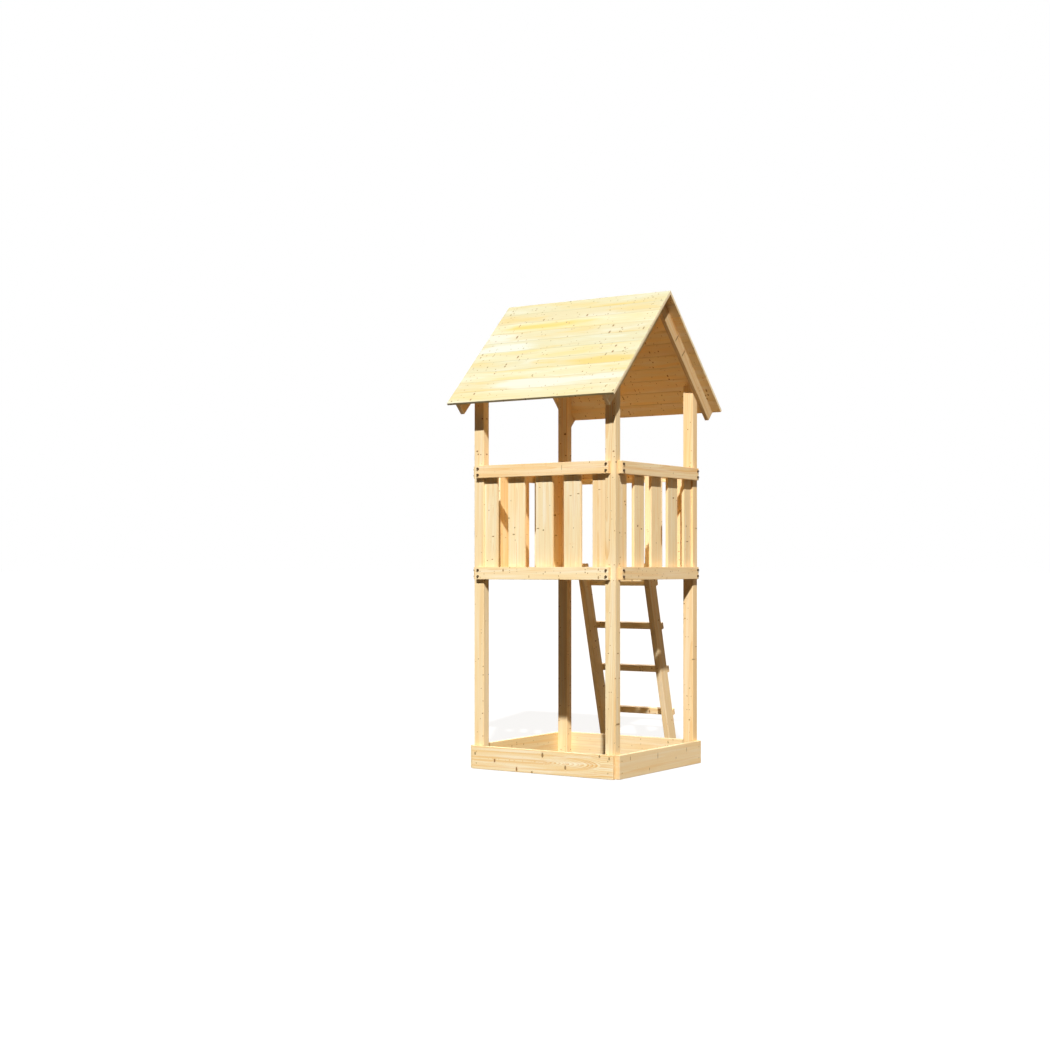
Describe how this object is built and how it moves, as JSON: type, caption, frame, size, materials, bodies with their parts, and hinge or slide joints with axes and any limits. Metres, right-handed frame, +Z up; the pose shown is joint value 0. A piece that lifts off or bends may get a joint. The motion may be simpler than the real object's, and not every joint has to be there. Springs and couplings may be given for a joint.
{
  "type": "play tower",
  "caption": "Wooden garden play tower on posts, with a sandbox border, a railed deck under a gable roof and a fixed leaning ladder at the back.",
  "frame": {"origin": "at ground level, below the middle of the whole outline from the front eave to the ladder's foot", "axes": "+Z up, +Y from the open front towards the ladder, +X along the roof ridge, to the right seen from the front"},
  "size_m": [1.19, 1.6142, 2.9218],
  "materials": {
    "spruce_post": "planed, untreated",
    "spruce_plank": "planed, untreated",
    "spruce_slat": "planed, untreated",
    "spruce_roof_board": "planed, untreated",
    "spruce_deck": "planed, untreated",
    "spruce_ladder": "planed, untreated",
    "screw_steel": "black oxide"
  },
  "bodies": {
    "root": {"post_front_left": "spruce_post", "post_front_right": "spruce_post", "post_back_left": "spruce_post", "post_back_right": "spruce_post", "border_front": "spruce_plank", "border_right": "spruce_plank", "border_back": "spruce_plank", "border_left": "spruce_plank", "rail_front_lower": "spruce_plank", "rail_front_upper": "spruce_plank", "rail_right_lower": "spruce_plank", "rail_right_upper": "spruce_plank", "rail_back_lower": "spruce_plank", "rail_back_upper": "spruce_plank", "rail_left_lower": "spruce_plank", "rail_left_upper": "spruce_plank", "slat_front_1": "spruce_slat", "slat_front_2": "spruce_slat", "slat_front_3": "spruce_slat", "slat_front_4": "spruce_slat", "slat_front_5": "spruce_slat", "slat_right_1": "spruce_slat", "slat_right_2": "spruce_slat", "slat_right_3": "spruce_slat", "slat_right_4": "spruce_slat", "slat_right_5": "spruce_slat", "slat_back_1": "spruce_slat", "slat_back_2": "spruce_slat", "slat_left_1": "spruce_slat", "slat_left_2": "spruce_slat", "slat_left_3": "spruce_slat", "slat_left_4": "spruce_slat", "slat_left_5": "spruce_slat", "deck_joist_left": "spruce_deck", "deck_joist_right": "spruce_deck", "deck_boards_1": "spruce_deck", "deck_boards_2": "spruce_deck", "deck_boards_3": "spruce_deck", "deck_boards_4": "spruce_deck", "deck_boards_5": "spruce_deck", "rafter_front_left": "spruce_plank", "rafter_front_right": "spruce_plank", "rafter_back_left": "spruce_plank", "rafter_back_right": "spruce_plank", "roof_boards_front_1": "spruce_roof_board", "roof_boards_front_2": "spruce_roof_board", "roof_boards_front_3": "spruce_roof_board", "roof_boards_front_4": "spruce_roof_board", "roof_boards_front_5": "spruce_roof_board", "roof_boards_back_1": "spruce_roof_board", "roof_boards_back_2": "spruce_roof_board", "roof_boards_back_3": "spruce_roof_board", "roof_boards_back_4": "spruce_roof_board", "roof_boards_back_5": "spruce_roof_board", "ladder_side_left": "spruce_ladder", "ladder_side_right": "spruce_ladder", "ladder_rung_1": "spruce_ladder", "ladder_rung_2": "spruce_ladder", "ladder_rung_3": "spruce_ladder", "ladder_rung_4": "spruce_ladder"}
  },
  "joints": []
}
